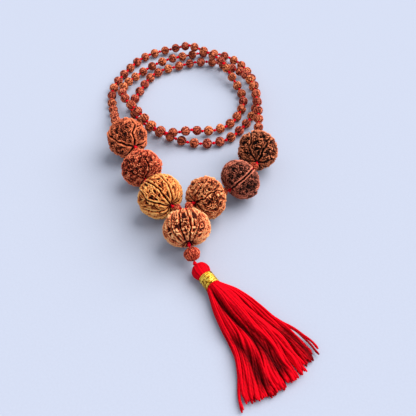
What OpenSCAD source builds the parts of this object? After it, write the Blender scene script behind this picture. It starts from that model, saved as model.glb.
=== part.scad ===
// Mala prayer beads: a long strand of small rudraksha beads with a knot between each pair,
// coiled in three turns, closed by seven large rudraksha beads with small spacer beads
// between them, and a pendant bead and tassel below the guru bead.
// Millimetres, +Z up, the beads rest on z = 0 and the tassel points towards -Y.

/* [Small beads] */
// Diameter of a small bead
small_bead_d = 7; // [6:0.1:7.2]
// Length of a small bead along its bore
small_bead_len = 6.4; // [5.4:0.1:6.6]
// Radius of the bore through a small bead
small_bore_r = 0.8; // [0.7:0.05:1.2]

/* [Large beads] */
// Diameters of the left large beads, from the guru bead outwards
left_bead_d = [29.5, 27.5, 28.5]; // [20:0.5:30]
// Lengths of the left large beads, from the guru bead outwards
left_bead_len = [24, 20.5, 26]; // [18:0.5:28]
// Numbers of faces (mukhi) of the left large beads
left_bead_faces = [9, 5, 6]; // [3:1:14]
// Diameters of the right large beads, from the guru bead outwards
right_bead_d = [28.5, 28, 28.5]; // [20:0.5:30]
// Lengths of the right large beads, from the guru bead outwards
right_bead_len = [21.5, 20, 26]; // [18:0.5:28]
// Numbers of faces (mukhi) of the right large beads
right_bead_faces = [7, 8, 6]; // [3:1:14]
// Diameter of the guru bead
guru_bead_d = 30; // [24:0.5:32]
// Length of the guru bead
guru_bead_len = 21; // [20:0.5:26]
// Number of faces (mukhi) of the guru bead
guru_bead_faces = 14; // [3:1:21]
// Radius of the bore through a large bead
large_bore_r = 1; // [0.9:0.05:1.5]
// Depth of the hollow round each mouth of a large bead's bore
pole_hollow_depth = 1.5; // [0.5:0.1:2]
// Radius of the hollow round each mouth of a large bead's bore
pole_hollow_r = 4.5; // [3.5:0.1:6]
// Width of the groove between two faces of a large bead
groove_w = 0.7; // [0.4:0.1:1.2]
// Depth of the groove between two faces of a large bead
groove_depth = 1.1; // [0.5:0.1:2]

/* [Spacer and pendant beads] */
// Diameter of a spacer bead
spacer_d = 6; // [5:0.1:6.4]
// Length of a spacer bead
spacer_len = 4.2; // [3.6:0.1:4.8]
// Diameter of the pendant bead
pendant_d = 10.2; // [8:0.1:11]
// Length of the pendant bead
pendant_len = 8; // [7:0.1:9]

/* [Thread] */
// Radius of the thread
thread_r = 0.6; // [0.4:0.05:0.7]
// Radius of a knot between small beads
knot_r = 1.15; // [0.9:0.05:1.3]
// Radius of the knot where the two sides meet above the guru bead
joining_knot_r = 1.8; // [1.4:0.1:2]
// Clear gap between a turning bead and the knot beside it
knot_gap = 0.3; // [0.1:0.05:0.5]
// Clear gap between the joining knot and the two spacer beads beside it
join_gap = 0.9; // [0.6:0.05:1.2]

/* [Tassel] */
// Radius of the knot between the pendant bead and the tassel
tassel_knot_r = 1.3; // [1.2:0.1:1.6]
// Radius of the tassel head at its widest
head_r = 5.1; // [4.2:0.1:5.2]
// Radius of the flat that the head bulges round
head_flat = 1.2; // [0.8:0.1:1.6]
// Distance from the tassel knot to the start of the wrap
wrap_start = 10.5; // [10:0.5:14]
// Length of the metallic thread wrap
wrap_len = 8; // [4:0.5:10]
// Outer radius of the wrap
wrap_r = 4.5; // [3.5:0.1:4.8]
// Number of turns of metallic thread in the wrap
wrap_turns = 10; // [5:1:14]
// Radius of the yarn core under the wrap
core_r = 3.7; // [3:0.1:4]

/* [Hidden] */
$fn = 48;
fine = 32;
thread_sides = 8;

// Layout shift that puts the middle of the whole layout over the origin.
layout_shift = [8.9, -20.7, 0];

bead_count = 96;
beads_per_run = 8;
curve_steps = 12;

// Route of the strand from the left upper large bead, three turns round, to the right upper
// large bead. Where two turns cross, one of them rides over the other.
first_turn = [
    [-65, 73, 9.5], [-68, 86, 5], [-71, 99, 3.6], [-72, 111, 3.6], [-70, 122, 3.6],
    [-65, 133, 3.6], [-60, 143, 3.6], [-54, 152, 3.6], [-45, 160, 3.6], [-34, 164.5, 3.6],
    [-24, 165, 6], [-15, 161, 10.6], [-6, 155, 10.9], [3, 148, 10.9], [11, 139, 10.9],
    [17, 128, 7.5], [22, 118, 4.2], [26, 107, 3.6], [26, 96, 3.6], [22, 85, 3.6], [16, 75, 3.6],
    [7, 69, 3.6], [-3, 66, 5], [-11, 62.5, 9.2], [-19, 58.5, 10.9], [-28, 57.5, 10.9]
];
second_turn = [
    [-35, 61, 10.9], [-42, 69, 10.9], [-48, 78, 10.9], [-55, 87, 10.9], [-61, 96, 10.7],
    [-64, 106, 8.8], [-62, 117, 6.5], [-57, 127, 4.5], [-51, 135, 4], [-44, 142, 4.5],
    [-35, 146, 6.5], [-26, 151, 6], [-18, 156.5, 3.8], [-8, 160, 3.6], [2, 161, 3.6],
    [11, 158, 3.6], [20, 152, 3.6], [27, 144, 3.6], [32, 133, 3.6], [35, 122, 3.6],
    [36.5, 110, 3.6], [36, 98, 3.6], [33, 86, 3.6], [27, 75, 3.6], [20, 65, 3.6], [12, 58, 3.6],
    [2, 55, 3.6], [-9, 55, 3.6], [-19, 58, 3.6]
];
third_turn = [
    [-28, 63, 3.6], [-37, 68, 3.6], [-45, 75, 3.6], [-52, 83, 3.6], [-56, 93, 3.6],
    [-54, 104, 3.6], [-50, 115, 3.6], [-46, 126, 3.6], [-40, 135, 3.6], [-31, 140, 3.6],
    [-21, 144, 3.6], [-11, 148, 3.6], [-1, 149, 3.6], [8, 147, 3.6], [17, 142, 3.6],
    [24, 134, 5.5], [30, 123, 9.5], [33, 111, 10.9], [35, 99, 10.9], [35.5, 86, 10.9],
    [35.5, 73, 10.9], [34.5, 62, 11.2]
];

// The guru bead: its centre, and the heading and tilt of its bore.
guru_centre = [-12.5, -28, 15.3];
guru_heading = -80;
guru_tilt = 16;

// Each side runs spacer, bead, spacer, bead, spacer, bead: heading and end height of each.
left_run = [[142.5, 16.3], [132.5, 14.5], [106.5, 12.9], [109, 15], [103.5, 16.6], [121.5, 12.6]];
right_run = [[49, 17.6], [41, 11.6], [20, 11.5], [44, 16.6], [56, 15.4], [84.5, 13.6]];

pendant_heading = -68;
pendant_tilt = 39.5;
tassel_heading = -55.5;

function direction(heading, tilt) =
    [cos(heading) * cos(tilt), sin(heading) * cos(tilt), -sin(tilt)];

// Knot to knot distance over a large bead, a spacer and the pendant bead.
end_room = knot_r + knot_gap;
function large_span(len) = len - 2 * pole_hollow_depth + 2 * end_room;
spacer_span = spacer_len + 2 * end_room;
join_span = spacer_len + end_room + joining_knot_r + join_gap;
guru_span = guru_bead_len - 2 * pole_hollow_depth + end_room + joining_knot_r + knot_gap;
pendant_span = pendant_len + end_room + tassel_knot_r + knot_gap;

guru_axis = direction(guru_heading, guru_tilt);
joining_knot = guru_centre - guru_axis
    * (guru_bead_len / 2 - pole_hollow_depth + joining_knot_r + knot_gap);
guru_low_knot = joining_knot + guru_axis * guru_span;
tassel_knot_at = guru_low_knot + direction(pendant_heading, pendant_tilt) * pendant_span;

left_spans = [
    join_span, large_span(left_bead_len[0]), spacer_span,
    large_span(left_bead_len[1]), spacer_span, large_span(left_bead_len[2])
];
right_spans = [
    join_span, large_span(right_bead_len[0]), spacer_span,
    large_span(right_bead_len[1]), spacer_span, large_span(right_bead_len[2])
];

function unit(v) = v / norm(v);

// Knot positions of one side, starting from the joining knot.
function next_knot(p, span, heading, z) =
    let (flat = sqrt(span * span - (z - p[2]) * (z - p[2])))
    [p[0] + flat * cos(heading), p[1] + flat * sin(heading), z];
function side_knots(run, spans) =
    [for (i = 0, p = joining_knot;
          i <= len(run);
          p = i < len(run) ? next_knot(p, spans[i], run[i][0], run[i][1]) : p, i = i + 1) p];

left_knots = side_knots(left_run, left_spans);
right_knots = side_knots(right_run, right_spans);

// A smooth curve through the route, and the distance travelled along it.
route = concat([left_knots[6]], first_turn, second_turn, third_turn, [right_knots[6]]);
route_end = len(route) - 1;
function spline(a, b, c, d, t) =
    0.5 * (2 * b + (c - a) * t + (2 * a - 5 * b + 4 * c - d) * t * t
    + (3 * b - a - 3 * c + d) * t * t * t);
curve = concat(
    [for (i = [0 : route_end - 1]) for (k = [0 : curve_steps - 1])
        spline(route[max(i - 1, 0)], route[i], route[i + 1],
               route[min(i + 2, route_end)], k / curve_steps)],
    [route[route_end]]
);
curve_end = len(curve) - 1;
travel = [for (i = 0, s = 0;
               i <= curve_end;
               s = i < curve_end ? s + norm(curve[i + 1] - curve[i]) : s, i = i + 1) s];
x_table = [for (i = [0 : curve_end]) [travel[i], curve[i][0]]];
y_table = [for (i = [0 : curve_end]) [travel[i], curve[i][1]]];
z_table = [for (i = [0 : curve_end]) [travel[i], curve[i][2]]];
bead_pitch = travel[curve_end] / bead_count;
strand_knots = [for (i = [0 : bead_count]) let (s = i * bead_pitch)
    [lookup(s, x_table), lookup(s, y_table), lookup(s, z_table)]];

small_bead_color = [0.54, 0.28, 0.21];
reddish = [0.49, 0.22, 0.16];
dark_red = [0.49, 0.19, 0.13];
golden = [0.63, 0.36, 0.20];
golden_brown = [0.65, 0.34, 0.22];
light_brown = [0.59, 0.29, 0.19];
maroon = [0.35, 0.18, 0.15];
dark_brown = [0.39, 0.20, 0.15];
orange_red = [0.67, 0.25, 0.18];
thread_color = [0.78, 0.03, 0.08];
tassel_color = [0.78, 0.02, 0.08];
gold_color = [0.72, 0.54, 0.16];

// Stands its children, drawn along +Z, on the line from a to b, halfway between them.
module between(a, b) {
    d = b - a;
    translate(layout_shift + (a + b) / 2)
        rotate([0, acos(d[2] / norm(d)), atan2(d[1], d[0])])
            children();
}

module at_knot(p) {
    translate(layout_shift + p) children();
}

// A rounded bead, flat round its mouths, with a bore along Z.
module plain_bead(d, len, bore_r) {
    rotate_extrude($fn = fine)
        difference() {
            union() {
                translate([d / 2 - len / 2, 0]) circle(r = len / 2);
                translate([0, -len / 2]) square([d / 2 - len / 2, len]);
            }
            translate([-d, -len]) square([d + bore_r, 2 * len]);
        }
}

// The same bead with a hollow round each mouth, or its core inside the grooves.
module hollowed_bead(d, len, bore_r, inset) {
    hollow_sphere_r = (pole_hollow_r * pole_hollow_r + pole_hollow_depth * pole_hollow_depth)
        / (2 * pole_hollow_depth);
    hollow_at = len / 2 - pole_hollow_depth + hollow_sphere_r - inset;
    rotate_extrude()
        difference() {
            union() {
                translate([d / 2 - len / 2, 0]) circle(r = len / 2 - inset);
                translate([0, inset - len / 2]) square([d / 2 - len / 2, len - 2 * inset]);
            }
            translate([-d, -len]) square([d + bore_r, 2 * len]);
            translate([0, hollow_at]) circle(r = hollow_sphere_r);
            translate([0, -hollow_at]) circle(r = hollow_sphere_r);
        }
}

module large_bead(d, len, faces) {
    difference() {
        hollowed_bead(d, len, large_bore_r, 0);
        difference() {
            for (i = [0 : faces - 1])
                rotate([0, 0, i * 360 / faces])
                    translate([pole_hollow_r, -groove_w / 2, -len])
                        cube([d, groove_w, 2 * len]);
            hollowed_bead(d, len, 0.5, groove_depth);
        }
    }
}

// One run of small beads on the strand, each between its two knots.
module small_beads(run) {
    color(small_bead_color)
        for (i = [(run - 1) * beads_per_run : run * beads_per_run - 1])
            between(strand_knots[i], strand_knots[i + 1])
                plain_bead(small_bead_d, small_bead_len, small_bore_r);
}

// A straight piece of thread from a to b.
module thread_piece(a, b) {
    between(a, b)
        cylinder(r = thread_r, h = norm(b - a), center = true, $fn = fine);
}

// Rings of a thread over the knot at points[i]: middle, direction and radius of each.
function knot_rings(points, i) =
    let (p = points[i],
         before = unit(i == 0 ? points[1] - p : p - points[i - 1]),
         after = i == len(points) - 1 ? before : unit(points[i + 1] - p))
    [
        [p - before * knot_r, before, thread_r],
        [p - before * knot_r * 0.6, before, knot_r * 0.8],
        [p, unit(before + after), knot_r],
        [p + after * knot_r * 0.6, after, knot_r * 0.8],
        [p + after * knot_r, after, thread_r]
    ];

// A ring of plain thread on the way from a to b, at a distance past a.
function plain_ring(a, b, distance) =
    let (u = unit(b - a)) [[a + u * distance, u, thread_r]];

// Corners of a ring, kept level so that the tube does not twist.
function ring_points(ring) =
    let (side = unit(cross(ring[1], [0, 0, 1])), up = cross(side, ring[1]))
    [for (k = [0 : thread_sides - 1])
        ring[0] + ring[2] * (side * cos(k * 360 / thread_sides)
                             + up * sin(k * 360 / thread_sides))];

// A tube through the rings, closed at both ends.
module thread_tube(rings) {
    last = len(rings) - 1;
    n = thread_sides;
    walls = [for (r = [0 : last - 1]) for (k = [0 : n - 1])
        [r * n + k, r * n + (k + 1) % n, (r + 1) * n + (k + 1) % n, (r + 1) * n + k]];
    near_end = [[for (k = [0 : n - 1]) n - 1 - k]];
    far_end = [[for (k = [0 : n - 1]) last * n + k]];
    color(thread_color)
        translate(layout_shift)
            polyhedron(points = [for (ring = rings) each ring_points(ring)],
                       faces = concat(walls, near_end, far_end), convexity = 10);
}

// The strand's thread from knot `from` to knot `to`; it ends halfway through a bead, where
// the next piece of the strand's thread starts after a small gap.
module strand_thread(from, to) {
    half = bead_pitch / 2;
    thread_tube(concat(
        from == 0 ? [] : plain_ring(strand_knots[from - 1], strand_knots[from], half + 0.1),
        [for (i = [from : to]) each knot_rings(strand_knots, i)],
        to == bead_count ? [] : plain_ring(strand_knots[to], strand_knots[to + 1], half - 0.1)
    ));
}

// The thread of one side, with a knot each side of every bead but none at its two ends.
module side_thread(knots) {
    thread_tube(concat(
        plain_ring(knots[0], knots[1], joining_knot_r + 0.05),
        [for (i = [1 : 5]) each knot_rings(knots, i)],
        plain_ring(knots[5], knots[6], norm(knots[6] - knots[5]) - end_room)
    ));
}

// The thread through the guru bead, from the joining knot to the knot below it.
module guru_thread() {
    color(thread_color)
        union() {
            thread_piece(joining_knot, guru_low_knot);
            at_knot(joining_knot) sphere(r = joining_knot_r, $fn = fine);
            at_knot(guru_low_knot) sphere(r = knot_r, $fn = fine);
        }
}

module guru_bead() {
    color(golden_brown)
        translate(layout_shift + guru_centre)
            rotate([0, 90 + guru_tilt, guru_heading])
                large_bead(guru_bead_d, guru_bead_len, guru_bead_faces);
}

// The large bead at place 0, 1 or 2 of one side.
module side_bead(knots, place, d, len, faces, tint) {
    color(tint)
        between(knots[2 * place + 1], knots[2 * place + 2])
            large_bead(d[place], len[place], faces[place]);
}

// The spacer bead before the large bead at the same place of one side.
module spacer(knots, place) {
    a = knots[2 * place];
    b = knots[2 * place + 1];
    u = unit(b - a);
    start = place == 0 ? joining_knot_r + join_gap : end_room;
    color(orange_red)
        between(a + u * start, b - u * end_room)
            plain_bead(spacer_d, spacer_len, large_bore_r);
}

module pendant_bead() {
    u = direction(pendant_heading, pendant_tilt);
    color(orange_red)
        between(guru_low_knot + u * end_room, guru_low_knot + u * (end_room + pendant_len))
            plain_bead(pendant_d, pendant_len, large_bore_r);
}

// The thread through the pendant bead, just clear of the knots above and below it.
module pendant_thread() {
    u = direction(pendant_heading, pendant_tilt);
    color(thread_color)
        thread_piece(guru_low_knot + u * (knot_r + 0.05),
                     tassel_knot_at - u * (tassel_knot_r + 0.05));
}

module tassel_knot() {
    color(tassel_color)
        at_knot(tassel_knot_at) sphere(r = tassel_knot_r, $fn = fine);
}

// Children are drawn with the tassel knot at the origin and the tassel along +X.
module on_tassel() {
    translate(layout_shift + tassel_knot_at)
        rotate([0, 0, tassel_heading])
            children();
}

// The folded yarns above the wrap, and their core inside it.
module tassel_head() {
    round_r = head_r - head_flat;
    bulge_at = wrap_start - round_r - 0.5;
    neck_at = tassel_knot_r + 0.3;
    color(tassel_color)
        on_tassel()
            rotate([0, 90, 0])
                rotate_extrude()
                    difference() {
                        union() {
                            translate([head_flat, bulge_at]) circle(r = round_r);
                            translate([0, bulge_at - round_r])
                                square([head_flat, 2 * round_r]);
                            polygon([[0, neck_at], [1.5, neck_at],
                                     [head_flat + round_r * cos(35),
                                      bulge_at - round_r * sin(35)],
                                     [0, bulge_at]]);
                            translate([0, bulge_at])
                                square([core_r, wrap_start + wrap_len - bulge_at]);
                        }
                        translate([-head_r - 1, 0]) square([head_r + 1, 2 * wrap_start]);
                    }
}

// Turns of metallic thread laid side by side.
module tassel_wrap() {
    turn = wrap_len / wrap_turns;
    color(gold_color)
        on_tassel()
            rotate([0, 90, 0])
                rotate_extrude()
                    union() {
                        translate([core_r + 0.05, wrap_start + turn / 4])
                            square([wrap_r - turn / 2 - core_r, wrap_len - turn / 2]);
                        for (i = [0 : wrap_turns - 1])
                            translate([wrap_r - turn / 2, wrap_start + (i + 0.5) * turn])
                                circle(r = turn / 2, $fn = 16);
                    }
}

// Stations of the skirt: distance from the knot, half width, half height, bow of the end and
// sideways lean.
skirt_stations = [
    [18.6, 4.2, 4.2, 0, 0.2], [24.5, 8.2, 4.4, 0.5, 1.8], [33, 11.6, 4.3, 1, 2.1],
    [44, 14, 4, 1.5, 2.5], [53, 15.2, 3.7, 2.5, 2.6], [63, 19.6, 3.2, 4, 2.4],
    [73, 24, 2.7, 5.5, 0], [85, 27, 2.2, 6.5, -2]
];
skirt_sides = 28;
floor_gap = 0.2;

// One point of a skirt ring; the ring lies just above the floor.
function skirt_point(s, angle) = [
    s[0] - s[3] * cos(angle) * cos(angle),
    s[1] * cos(angle) + s[4],
    s[2] * (1 + sin(angle)) + floor_gap - tassel_knot_at[2]
];

module tassel_skirt() {
    rings = len(skirt_stations);
    points = [for (s = skirt_stations) for (k = [0 : skirt_sides - 1])
        skirt_point(s, k * 360 / skirt_sides)];
    walls = [for (r = [0 : rings - 2]) for (k = [0 : skirt_sides - 1])
        let (m = (k + 1) % skirt_sides)
        for (t = [0, 1]) t == 0
            ? [r * skirt_sides + k, r * skirt_sides + m, (r + 1) * skirt_sides + m]
            : [r * skirt_sides + k, (r + 1) * skirt_sides + m, (r + 1) * skirt_sides + k]];
    near_end = [[for (k = [0 : skirt_sides - 1]) skirt_sides - 1 - k]];
    far_end = [for (k = [1 : skirt_sides - 2])
        [(rings - 1) * skirt_sides, (rings - 1) * skirt_sides + k,
         (rings - 1) * skirt_sides + k + 1]];
    color(tassel_color)
        on_tassel()
            polyhedron(points = points, faces = concat(walls, near_end, far_end));
}

small_beads(1);  // small_beads_01
small_beads(2);  // small_beads_02
small_beads(3);  // small_beads_03
small_beads(4);  // small_beads_04
small_beads(5);  // small_beads_05
small_beads(6);  // small_beads_06
small_beads(7);  // small_beads_07
small_beads(8);  // small_beads_08
small_beads(9);  // small_beads_09
small_beads(10);  // small_beads_10
small_beads(11);  // small_beads_11
small_beads(12);  // small_beads_12
strand_thread(0, 32);  // strand_thread_first_turn
strand_thread(33, 64);  // strand_thread_second_turn
strand_thread(65, 96);  // strand_thread_third_turn
side_thread(left_knots);  // left_thread
side_thread(right_knots);  // right_thread
guru_thread();
side_bead(left_knots, 2, left_bead_d, left_bead_len, left_bead_faces, reddish);  // left_upper_bead
side_bead(left_knots, 1, left_bead_d, left_bead_len, left_bead_faces, dark_red);  // left_middle_bead
side_bead(left_knots, 0, left_bead_d, left_bead_len, left_bead_faces, golden);  // left_lower_bead
guru_bead();
side_bead(right_knots, 0, right_bead_d, right_bead_len, right_bead_faces, light_brown);  // right_lower_bead
side_bead(right_knots, 1, right_bead_d, right_bead_len, right_bead_faces, maroon);  // right_middle_bead
side_bead(right_knots, 2, right_bead_d, right_bead_len, right_bead_faces, dark_brown);  // right_upper_bead
spacer(left_knots, 2);  // left_upper_spacer
spacer(left_knots, 1);  // left_middle_spacer
spacer(left_knots, 0);  // left_lower_spacer
spacer(right_knots, 0);  // right_lower_spacer
spacer(right_knots, 1);  // right_middle_spacer
spacer(right_knots, 2);  // right_upper_spacer
pendant_bead();
pendant_thread();
tassel_knot();
tassel_head();
tassel_wrap();
tassel_skirt();
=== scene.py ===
"""The looks of a string of mala prayer beads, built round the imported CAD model, in metres."""
import math
from dataclasses import dataclass

import bpy
import numpy as np
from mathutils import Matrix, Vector


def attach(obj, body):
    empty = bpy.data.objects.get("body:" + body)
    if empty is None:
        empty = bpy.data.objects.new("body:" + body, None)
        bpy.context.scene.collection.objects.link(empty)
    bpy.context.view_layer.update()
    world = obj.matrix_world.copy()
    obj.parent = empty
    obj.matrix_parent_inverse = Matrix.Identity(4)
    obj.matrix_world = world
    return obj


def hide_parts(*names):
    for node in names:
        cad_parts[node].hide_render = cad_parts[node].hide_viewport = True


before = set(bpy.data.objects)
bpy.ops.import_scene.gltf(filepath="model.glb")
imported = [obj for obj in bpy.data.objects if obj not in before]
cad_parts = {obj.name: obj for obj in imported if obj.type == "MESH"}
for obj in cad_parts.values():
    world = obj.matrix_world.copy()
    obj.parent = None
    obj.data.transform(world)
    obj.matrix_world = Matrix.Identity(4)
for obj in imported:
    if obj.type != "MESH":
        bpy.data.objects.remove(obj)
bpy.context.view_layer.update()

# --- layout, as in the CAD source

SHIFT = np.array([0.0089, -0.0207, 0.0])  # the middle of the picture
BEAD_COUNT = 96
BEADS_PER_RUN = 8
CURVE_STEPS = 12

SMALL_D, SMALL_LEN, SMALL_BORE = 0.007, 0.0064, 0.0008
SPACER_D, SPACER_LEN = 0.006, 0.0042
PENDANT_D, PENDANT_LEN = 0.0102, 0.008
GURU_D, GURU_LEN = 0.030, 0.021
LARGE_BORE = 0.001
HOLLOW_DEPTH, HOLLOW_R = 0.0015, 0.0045
LEFT_D, LEFT_LEN = [0.0295, 0.0275, 0.0285], [0.024, 0.0205, 0.026]
RIGHT_D, RIGHT_LEN = [0.0285, 0.028, 0.0285], [0.0215, 0.020, 0.026]

THREAD_R = 0.0006
KNOT_R = 0.00115
JOINING_KNOT_R = 0.0018
TASSEL_KNOT_R = 0.0013
KNOT_GAP = 0.0003
JOIN_GAP = 0.0009

GURU_CENTRE = np.array([-0.0125, -0.028, 0.0153]) + SHIFT
GURU_HEADING, GURU_TILT = -80, 16
PENDANT_HEADING, PENDANT_TILT = -68, 39.5
TASSEL_HEADING = -55.5

# Heading and end height of the spacer, bead, spacer, bead, spacer and bead of each side.
LEFT_RUN = [(142.5, 0.0163), (132.5, 0.0145), (106.5, 0.0129), (109, 0.015), (103.5, 0.0166),
            (121.5, 0.0126)]
RIGHT_RUN = [(49, 0.0176), (41, 0.0116), (20, 0.0115), (44, 0.0166), (56, 0.0154),
             (84.5, 0.0136)]

# Route of the strand, three turns from the left upper large bead to the right upper one, with the
# heights of a bead that lies on the table and of one that lies across another turn.
LOW, HIGH = 0.0036, 0.0109
FIRST_TURN = [
    (-0.065, 0.073, 0.0095), (-0.068, 0.086, 0.005), (-0.071, 0.099, LOW), (-0.072, 0.111, LOW),
    (-0.07, 0.122, LOW), (-0.065, 0.133, LOW), (-0.06, 0.143, LOW), (-0.054, 0.152, LOW),
    (-0.045, 0.16, LOW), (-0.034, 0.1645, LOW), (-0.024, 0.165, 0.006), (-0.015, 0.161, 0.0106),
    (-0.006, 0.155, HIGH), (0.003, 0.148, HIGH), (0.011, 0.139, HIGH), (0.017, 0.128, 0.0075),
    (0.022, 0.118, 0.0042), (0.026, 0.107, LOW), (0.026, 0.096, LOW), (0.022, 0.085, LOW),
    (0.016, 0.075, LOW), (0.007, 0.069, LOW), (-0.003, 0.066, 0.005), (-0.011, 0.0625, 0.0092),
    (-0.019, 0.0585, HIGH), (-0.028, 0.0575, HIGH),
]
SECOND_TURN = [
    (-0.035, 0.061, HIGH), (-0.042, 0.069, HIGH), (-0.048, 0.078, HIGH), (-0.055, 0.087, HIGH),
    (-0.061, 0.096, 0.0107), (-0.064, 0.106, 0.0088), (-0.062, 0.117, 0.0065),
    (-0.057, 0.127, 0.0045), (-0.051, 0.135, 0.004), (-0.044, 0.142, 0.0045),
    (-0.035, 0.146, 0.0065), (-0.026, 0.151, 0.006), (-0.018, 0.1565, 0.0038), (-0.008, 0.16, LOW),
    (0.002, 0.161, LOW), (0.011, 0.158, LOW), (0.02, 0.152, LOW), (0.027, 0.144, LOW),
    (0.032, 0.133, LOW), (0.035, 0.122, LOW), (0.0365, 0.11, LOW), (0.036, 0.098, LOW),
    (0.033, 0.086, LOW), (0.027, 0.075, LOW), (0.02, 0.065, LOW), (0.012, 0.058, LOW),
    (0.002, 0.055, LOW), (-0.009, 0.055, LOW), (-0.019, 0.058, LOW),
]
THIRD_TURN = [
    (-0.028, 0.063, LOW), (-0.037, 0.068, LOW), (-0.045, 0.075, LOW), (-0.052, 0.083, LOW),
    (-0.056, 0.093, LOW), (-0.054, 0.104, LOW), (-0.05, 0.115, LOW), (-0.046, 0.126, LOW),
    (-0.04, 0.135, LOW), (-0.031, 0.14, LOW), (-0.021, 0.144, LOW), (-0.011, 0.148, LOW),
    (-0.001, 0.149, LOW), (0.008, 0.147, LOW), (0.017, 0.142, LOW), (0.024, 0.134, 0.0055),
    (0.03, 0.123, 0.0095), (0.033, 0.111, HIGH), (0.035, 0.099, HIGH), (0.0355, 0.086, HIGH),
    (0.0355, 0.073, HIGH), (0.0345, 0.062, 0.0112),
]


def direction(heading, tilt):
    """Unit vector along a heading on the floor, tilted down, both in degrees."""
    h, t = math.radians(heading), math.radians(tilt)
    return np.array([math.cos(h) * math.cos(t), math.sin(h) * math.cos(t), -math.sin(t)])


END_ROOM = KNOT_R + KNOT_GAP
SPACER_SPAN = SPACER_LEN + 2 * END_ROOM
JOIN_SPAN = SPACER_LEN + END_ROOM + JOINING_KNOT_R + JOIN_GAP
GURU_AXIS = direction(GURU_HEADING, GURU_TILT)
PENDANT_AXIS = direction(PENDANT_HEADING, PENDANT_TILT)
JOINING_KNOT = GURU_CENTRE - GURU_AXIS * (GURU_LEN / 2 - HOLLOW_DEPTH + JOINING_KNOT_R + KNOT_GAP)
GURU_SPAN = GURU_LEN - 2 * HOLLOW_DEPTH + END_ROOM + JOINING_KNOT_R + KNOT_GAP
GURU_LOW_KNOT = JOINING_KNOT + GURU_AXIS * GURU_SPAN
PENDANT_SPAN = PENDANT_LEN + END_ROOM + TASSEL_KNOT_R + KNOT_GAP
TASSEL_KNOT = GURU_LOW_KNOT + PENDANT_AXIS * PENDANT_SPAN


def large_span(length):
    """Knot to knot distance over a large bead."""
    return length - 2 * HOLLOW_DEPTH + 2 * END_ROOM


def side_knots(run, lengths):
    """Knot places of one side, starting from the joining knot."""
    spans = [JOIN_SPAN, large_span(lengths[0]), SPACER_SPAN,
             large_span(lengths[1]), SPACER_SPAN, large_span(lengths[2])]
    knots = [JOINING_KNOT]
    for (heading, height), span in zip(run, spans):
        last = knots[-1]
        flat = math.sqrt(span ** 2 - (height - last[2]) ** 2)
        step = flat * direction(heading, 0)
        knots.append(np.array([last[0] + step[0], last[1] + step[1], height]))
    return np.array(knots)


def smooth_route(points):
    """A Catmull-Rom curve through the points, CURVE_STEPS to each stretch."""
    line = []
    for i in range(len(points) - 1):
        a, b = points[max(i - 1, 0)], points[i]
        c, d = points[i + 1], points[min(i + 2, len(points) - 1)]
        for t in np.arange(CURVE_STEPS) / CURVE_STEPS:
            line.append(0.5 * (2 * b + (c - a) * t + (2 * a - 5 * b + 4 * c - d) * t ** 2
                               + (3 * b - a - 3 * c + d) * t ** 3))
    return np.array(line + [points[-1]])


def distances_along(line):
    """How far along a line each of its points lies."""
    return np.concatenate([[0], np.cumsum(np.linalg.norm(np.diff(line, axis=0), axis=1))])


def evenly_along(line, count):
    """count + 1 points at equal distances along a line."""
    travel = distances_along(line)
    places = np.linspace(0, travel[-1], count + 1)
    return np.stack([np.interp(places, travel, line[:, k]) for k in range(3)], axis=1)


left_knots = side_knots(LEFT_RUN, LEFT_LEN)
right_knots = side_knots(RIGHT_RUN, RIGHT_LEN)
turns = np.array(FIRST_TURN + SECOND_TURN + THIRD_TURN) + SHIFT
strand_route = smooth_route(np.vstack([left_knots[6:], turns, right_knots[6:]]))
strand_knots = evenly_along(strand_route, BEAD_COUNT)

# --- camera

CAMERA_TARGET = Vector(SHIFT)
CAMERA_DISTANCE = 0.353
CAMERA_ELEVATION = 50
SENSOR = 36
LENS = 48.46


def add_camera():
    """A camera that looks along +Y and down at the beads."""
    up = math.radians(CAMERA_ELEVATION)
    offset = Vector((0, -math.cos(up), math.sin(up))) * CAMERA_DISTANCE
    data = bpy.data.cameras.new("camera")
    data.lens = LENS
    data.sensor_width = SENSOR
    camera = bpy.data.objects.new("camera", data)
    camera.location = CAMERA_TARGET + offset
    camera.rotation_euler = (-offset).to_track_quat("-Z", "Y").to_euler()
    bpy.context.scene.collection.objects.link(camera)
    bpy.context.scene.camera = camera


add_camera()
bpy.context.scene.view_settings.view_transform = "Standard"

# --- noise and meshes


def smoothstep(low, high, x):
    """0 below low, 1 above high, and smooth between them."""
    t = np.clip((x - low) / (high - low), 0, 1)
    return t * t * (3 - 2 * t)


def unit(v):
    """v, or each row of v, at length 1."""
    return v / np.linalg.norm(v, axis=-1, keepdims=True)


# Large odd numbers that scramble a lattice point into a 32-bit number.
HASH_I, HASH_J, HASH_SEED = 374761393, 668265263, 1274126177
HASH_ROUNDS = ((13, 1274126177), (15, 2246822519))


def lattice_random(i, j, seed):
    """A repeatable number from 0 to 1 for each lattice point."""
    n = (i * HASH_I + j * HASH_J + seed * HASH_SEED).astype(np.int64).astype(np.uint32)
    for shift, factor in HASH_ROUNDS:
        n = (n ^ (n >> np.uint32(shift))) * np.uint32(factor)
    return (n ^ (n >> np.uint32(16))) / (2.0 ** 32 - 1)


def value_noise(x, y, period, seed):
    """Smooth noise from 0 to 1 that repeats along x after period cells."""
    i, j = np.floor(x).astype(int), np.floor(y).astype(int)
    fx, fy = smoothstep(0, 1, x - i), smoothstep(0, 1, y - j)
    here, there = i % period, (i + 1) % period
    low = (1 - fx) * lattice_random(here, j, seed) + fx * lattice_random(there, j, seed)
    high = (1 - fx) * lattice_random(here, j + 1, seed) + fx * lattice_random(there, j + 1, seed)
    return (1 - fy) * low + fy * high


def off_centre(x, y, period, seed):
    """The same noise from -0.5 to 0.5."""
    return value_noise(x, y, period, seed) - 0.5


# Where in its cell a lattice point may lie: from JITTER_START over a width of JITTER.
JITTER_START, JITTER = 0.1, 0.8


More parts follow.
